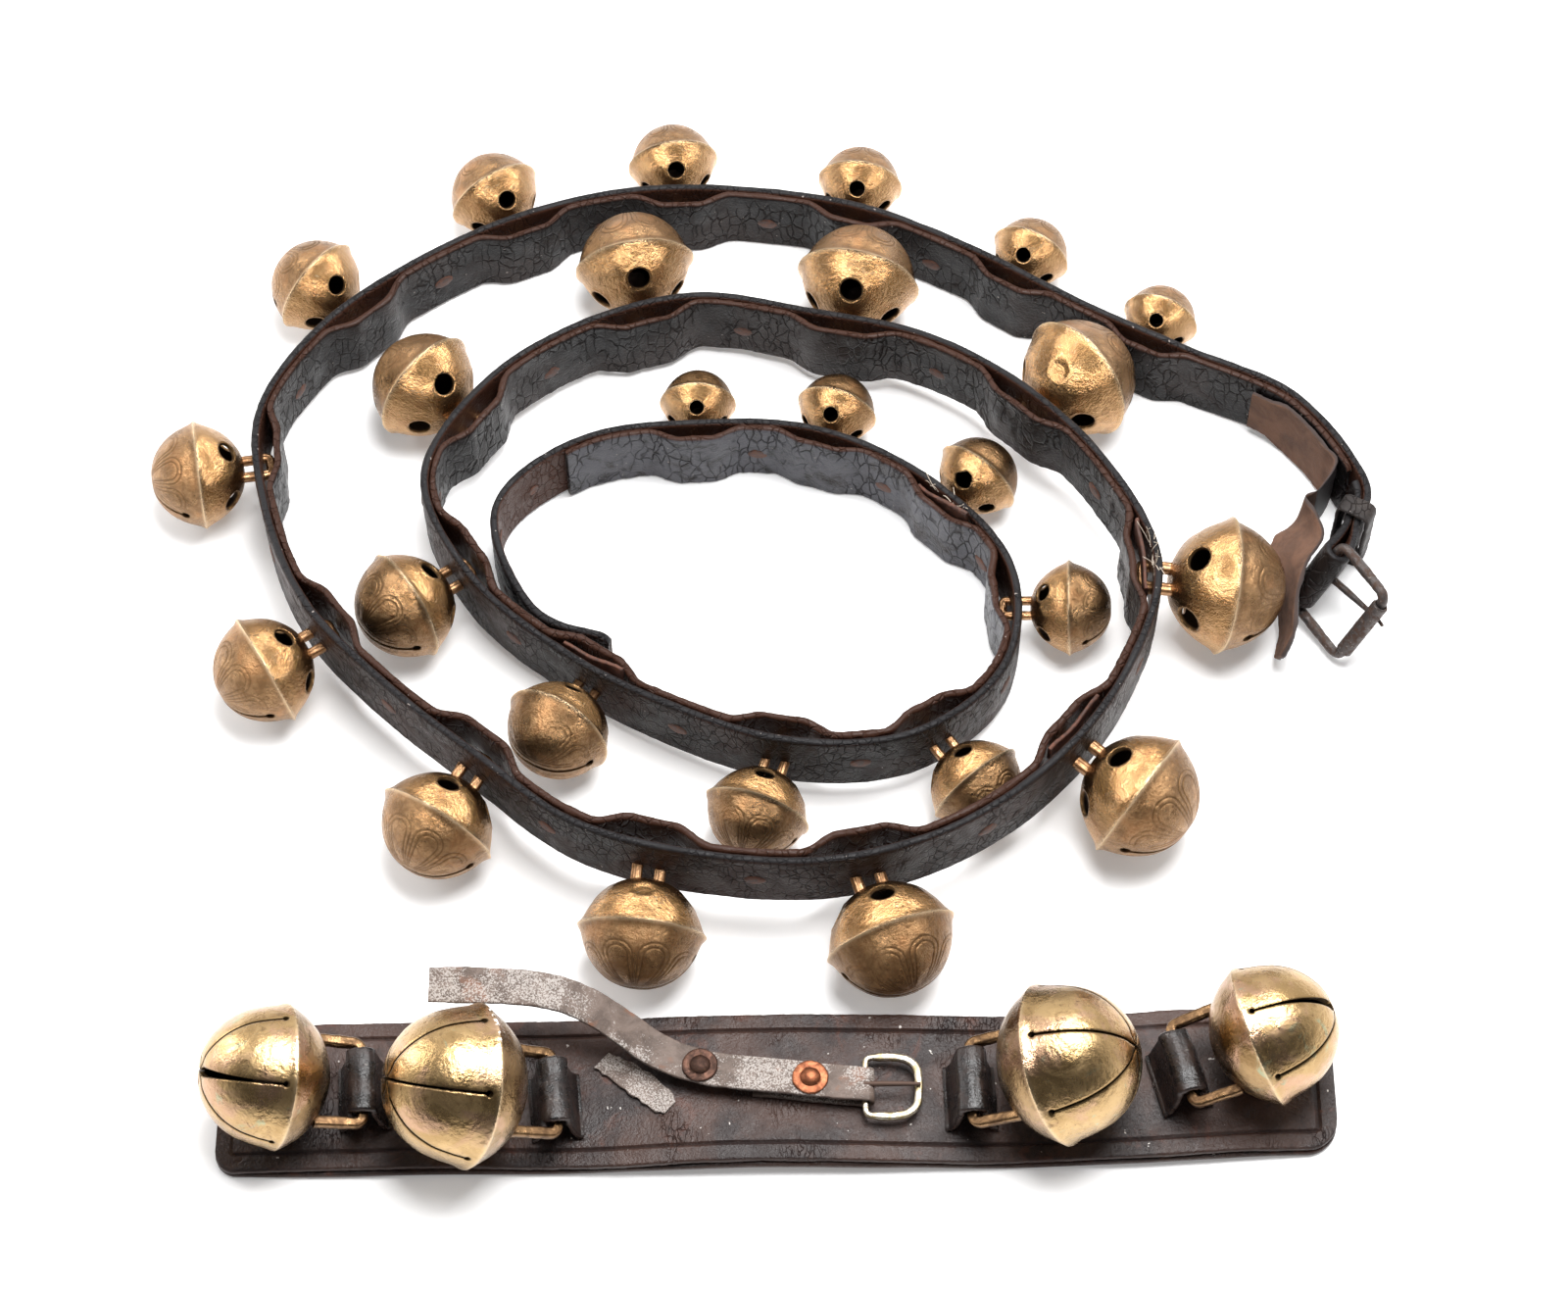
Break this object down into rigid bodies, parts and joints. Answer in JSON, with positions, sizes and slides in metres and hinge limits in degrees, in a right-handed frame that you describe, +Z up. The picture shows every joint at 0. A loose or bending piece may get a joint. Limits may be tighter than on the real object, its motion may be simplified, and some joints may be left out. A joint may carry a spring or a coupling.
{
  "type": "sleigh bell straps",
  "caption": "Coiled leather strap of graduated brass petal bells with a roller buckle, and a short strap of large multi-throat bells.",
  "frame": {"origin": "middle of the set's bounding box, on the surface it lies on", "axes": "+Z up; +X along the short strap; +Y from the short strap towards the coil"},
  "size_m": [0.5036, 0.49, 0.0676],
  "materials": {
    "petal_bell_brass": "polished on the shank half, browned in the engraved petals",
    "throat_bell_brass": "worn polish",
    "black_leather": "cracked, half gloss",
    "brown_leather": "dry, suede side out in places",
    "purple_brown_leather": "creased border, half gloss",
    "grey_leather": "dry with pale crust",
    "rusty_iron": "rusted",
    "worn_nickel": "worn plating",
    "copper": "oxidised copper"
  },
  "bodies": {
    "long_strap": {"long_strap_outer_ply": "brown_leather", "buckle_fold": "brown_leather", "long_strap_lining_ply": "black_leather", "buckle_end_flap": "brown_leather"},
    "strap_keeper": {"strap_keeper_loop": "black_leather"},
    "roller_buckle": {"roller_buckle_frame": "rusty_iron"},
    "roller": {"roller_sleeve": "rusty_iron"},
    "roller_tongue": {"roller_buckle_tongue": "rusty_iron"},
    "short_strap": {"short_strap_base_ply": "purple_brown_leather", "short_strap_top_ply": "purple_brown_leather", "thin_strap": "grey_leather", "thin_strap_fold": "grey_leather", "rivet_dark": "rusty_iron", "rivet_copper": "copper", "large_bell_keeper_1": "black_leather", "large_bell_keeper_2": "black_leather", "large_bell_keeper_3": "black_leather", "large_bell_keeper_4": "black_leather"},
    "d_buckle": {"d_buckle_frame": "worn_nickel"},
    "d_tongue": {"d_buckle_tongue": "rusty_iron"},
    "bell_01": {"bell_01": "petal_bell_brass"},
    "bell_02": {"bell_02": "petal_bell_brass"},
    "bell_03": {"bell_03": "petal_bell_brass"},
    "bell_04": {"bell_04": "petal_bell_brass"},
    "bell_05": {"bell_05": "petal_bell_brass"},
    "bell_06": {"bell_06": "petal_bell_brass"},
    "bell_07": {"bell_07": "petal_bell_brass"},
    "bell_08": {"bell_08": "petal_bell_brass"},
    "bell_09": {"bell_09": "petal_bell_brass"},
    "bell_10": {"bell_10": "petal_bell_brass"},
    "bell_11": {"bell_11": "petal_bell_brass"},
    "bell_12": {"bell_12": "petal_bell_brass"},
    "bell_13": {"bell_13": "petal_bell_brass"},
    "bell_14": {"bell_14": "petal_bell_brass"},
    "bell_15": {"bell_15": "petal_bell_brass"},
    "bell_16": {"bell_16": "petal_bell_brass"},
    "bell_17": {"bell_17": "petal_bell_brass"},
    "bell_18": {"bell_18": "petal_bell_brass"},
    "bell_19": {"bell_19": "petal_bell_brass"},
    "bell_20": {"bell_20": "petal_bell_brass"},
    "bell_21": {"bell_21": "petal_bell_brass"},
    "bell_22": {"bell_22": "petal_bell_brass"},
    "bell_23": {"bell_23": "petal_bell_brass"},
    "bell_24": {"bell_24": "petal_bell_brass"},
    "bell_25": {"bell_25": "petal_bell_brass"},
    "large_bell_1": {"large_bell_1": "throat_bell_brass"},
    "large_bell_pellet_1": {"large_bell_pellet_1": "rusty_iron"},
    "large_bell_2": {"large_bell_2": "throat_bell_brass"},
    "large_bell_pellet_2": {"large_bell_pellet_2": "rusty_iron"},
    "large_bell_3": {"large_bell_3": "throat_bell_brass"},
    "large_bell_pellet_3": {"large_bell_pellet_3": "rusty_iron"},
    "large_bell_4": {"large_bell_4": "throat_bell_brass"},
    "large_bell_pellet_4": {"large_bell_pellet_4": "rusty_iron"}
  },
  "joints": [
    {"name": "bell_01_rock", "type": "hinge", "parent": "long_strap", "child": "bell_01", "pos_m": [0.16042, 0.12666, 0.0166], "axis": [0, 0, 1], "range_deg": [-6, 6]},
    {"name": "bell_02_rock", "type": "hinge", "parent": "long_strap", "child": "bell_02", "pos_m": [0.10427, 0.1598, 0.01662], "axis": [0, 0, 1], "range_deg": [-6, 6]},
    {"name": "bell_03_rock", "type": "hinge", "parent": "long_strap", "child": "bell_03", "pos_m": [0.03808, 0.19274, 0.01654], "axis": [0, 0, 1], "range_deg": [-6, 6]},
    {"name": "bell_04_rock", "type": "hinge", "parent": "long_strap", "child": "bell_04", "pos_m": [-0.03523, 0.20188, 0.01653], "axis": [0, 0, 1], "range_deg": [-6, 6]},
    {"name": "bell_05_rock", "type": "hinge", "parent": "long_strap", "child": "bell_05", "pos_m": [-0.102, 0.18719, 0.01676], "axis": [0, 0, 1], "range_deg": [-6, 6]},
    {"name": "bell_06_rock", "type": "hinge", "parent": "long_strap", "child": "bell_06", "pos_m": [-0.16781, 0.14421, 0.01831], "axis": [0, 0, 1], "range_deg": [-6, 6]},
    {"name": "bell_07_rock", "type": "hinge", "parent": "long_strap", "child": "bell_07", "pos_m": [-0.20372, 0.07139, 0.02143], "axis": [0, 0, 1], "range_deg": [-6, 6]},
    {"name": "bell_08_rock", "type": "hinge", "parent": "long_strap", "child": "bell_08", "pos_m": [-0.17314, -0.0114, 0.02766], "axis": [0, 0, 1], "range_deg": [-6, 6]},
    {"name": "bell_09_rock", "type": "hinge", "parent": "long_strap", "child": "bell_09", "pos_m": [-0.11071, -0.07068, 0.0301], "axis": [0, 0, 1], "range_deg": [-6, 6]},
    {"name": "bell_10_rock", "type": "hinge", "parent": "long_strap", "child": "bell_10", "pos_m": [-0.0427, -0.1133, 0.03356], "axis": [0, 0, 1], "range_deg": [-6, 6]},
    {"name": "bell_11_rock", "type": "hinge", "parent": "long_strap", "child": "bell_11", "pos_m": [0.03894, -0.11682, 0.03276], "axis": [0, 0, 1], "range_deg": [-6, 6]},
    {"name": "bell_12_rock", "type": "hinge", "parent": "long_strap", "child": "bell_12", "pos_m": [0.12176, -0.06644, 0.03448], "axis": [0, 0, 1], "range_deg": [-6, 6]},
    {"name": "bell_13_rock", "type": "hinge", "parent": "long_strap", "child": "bell_13", "pos_m": [0.15316, 0.01107, 0.03368], "axis": [0, 0, 1], "range_deg": [-6, 6]},
    {"name": "bell_14_rock", "type": "hinge", "parent": "long_strap", "child": "bell_14", "pos_m": [0.10752, 0.08894, 0.03049], "axis": [0, 0, 1], "range_deg": [-6, 6]},
    {"name": "bell_15_rock", "type": "hinge", "parent": "long_strap", "child": "bell_15", "pos_m": [0.03348, 0.13075, 0.02239], "axis": [0, 0, 1], "range_deg": [-6, 6]},
    {"name": "bell_16_rock", "type": "hinge", "parent": "long_strap", "child": "bell_16", "pos_m": [-0.04973, 0.13917, 0.01913], "axis": [0, 0, 1], "range_deg": [-6, 6]},
    {"name": "bell_17_rock", "type": "hinge", "parent": "long_strap", "child": "bell_17", "pos_m": [-0.11871, 0.08782, 0.02362], "axis": [0, 0, 1], "range_deg": [-6, 6]},
    {"name": "bell_18_rock", "type": "hinge", "parent": "long_strap", "child": "bell_18", "pos_m": [-0.11999, 0.02089, 0.02222], "axis": [0, 0, 1], "range_deg": [-6, 6]},
    {"name": "bell_19_rock", "type": "hinge", "parent": "long_strap", "child": "bell_19", "pos_m": [-0.06661, -0.02785, 0.02019], "axis": [0, 0, 1], "range_deg": [-6, 6]},
    {"name": "bell_20_rock", "type": "hinge", "parent": "long_strap", "child": "bell_20", "pos_m": [0.00771, -0.06293, 0.02563], "axis": [0, 0, 1], "range_deg": [-6, 6]},
    {"name": "bell_21_rock", "type": "hinge", "parent": "long_strap", "child": "bell_21", "pos_m": [0.06737, -0.05569, 0.02522], "axis": [0, 0, 1], "range_deg": [-6, 6]},
    {"name": "bell_22_rock", "type": "hinge", "parent": "long_strap", "child": "bell_22", "pos_m": [0.09799, 0.00549, 0.01727], "axis": [0, 0, 1], "range_deg": [-6, 6]},
    {"name": "bell_23_rock", "type": "hinge", "parent": "long_strap", "child": "bell_23", "pos_m": [0.07349, 0.04762, 0.01671], "axis": [0, 0, 1], "range_deg": [-6, 6]},
    {"name": "bell_24_rock", "type": "hinge", "parent": "long_strap", "child": "bell_24", "pos_m": [0.02396, 0.07845, 0.01654], "axis": [0, 0, 1], "range_deg": [-6, 6]},
    {"name": "bell_25_rock", "type": "hinge", "parent": "long_strap", "child": "bell_25", "pos_m": [-0.02789, 0.08184, 0.01654], "axis": [0, 0, 1], "range_deg": [-6, 6]},
    {"name": "large_bell_1_swing", "type": "hinge", "parent": "short_strap", "child": "large_bell_1", "pos_m": [-0.15109, -0.20651, 0.02245], "axis": [-0.0698, 0.9976, 0], "range_deg": [0, 50]},
    {"name": "large_bell_pellet_1_hop", "type": "slide", "parent": "large_bell_1", "child": "large_bell_pellet_1", "axis": [0, 0, 1], "range_m": [0, 0.02]},
    {"name": "large_bell_2_swing", "type": "hinge", "parent": "short_strap", "child": "large_bell_2", "pos_m": [-0.07809, -0.21051, 0.0224], "axis": [-0.1045, 0.9945, 0], "range_deg": [0, 60]},
    {"name": "large_bell_pellet_2_hop", "type": "slide", "parent": "large_bell_2", "child": "large_bell_pellet_2", "axis": [0, 0, 1], "range_m": [0, 0.02]},
    {"name": "large_bell_3_swing", "type": "hinge", "parent": "short_strap", "child": "large_bell_3", "pos_m": [0.07991, -0.20651, 0.02276], "axis": [0.0349, -0.9994, 0], "range_deg": [0, 60]},
    {"name": "large_bell_pellet_3_hop", "type": "slide", "parent": "large_bell_3", "child": "large_bell_pellet_3", "axis": [0, 0, 1], "range_m": [0, 0.02]},
    {"name": "large_bell_4_swing", "type": "hinge", "parent": "short_strap", "child": "large_bell_4", "pos_m": [0.15991, -0.19951, 0.02407], "axis": [0.2419, -0.9703, 0], "range_deg": [0, 50]},
    {"name": "large_bell_pellet_4_hop", "type": "slide", "parent": "large_bell_4", "child": "large_bell_pellet_4", "axis": [0, 0, 1], "range_m": [0, 0.02]},
    {"name": "roller_buckle_pivot", "type": "hinge", "parent": "long_strap", "child": "roller_buckle", "pos_m": [0.22691, 0.01799, 0.02324], "axis": [0.4202, 0.2201, 0.8804], "range_deg": [-40, 0]},
    {"name": "roller_spin", "type": "hinge", "parent": "roller_buckle", "child": "roller", "pos_m": [0.24263, -0.00634, 0.02182], "axis": [0.4202, 0.2201, 0.8804], "continuous": true},
    {"name": "roller_tongue_pivot", "type": "hinge", "parent": "roller_buckle", "child": "roller_tongue", "pos_m": [0.22691, 0.01799, 0.02324], "axis": [0.4202, 0.2201, 0.8804], "range_deg": [0, 14]},
    {"name": "strap_keeper_slide", "type": "slide", "parent": "long_strap", "child": "strap_keeper", "axis": [-0.4824, -0.876, 0], "range_m": [-0.002, 0.002]},
    {"name": "short_strap_lift", "type": "slide", "parent": "long_strap", "child": "short_strap", "axis": [0, 0, 1], "range_m": [0, 0.15]},
    {"name": "d_buckle_pivot", "type": "hinge", "parent": "short_strap", "child": "d_buckle", "pos_m": [0.03991, -0.20401, 0.01413], "axis": [0, -1, 0], "range_deg": [0, 60]},
    {"name": "d_tongue_pivot", "type": "hinge", "parent": "d_buckle", "child": "d_tongue", "pos_m": [0.03991, -0.20401, 0.01413], "axis": [0, -1, 0], "range_deg": [0, 35]}
  ]
}
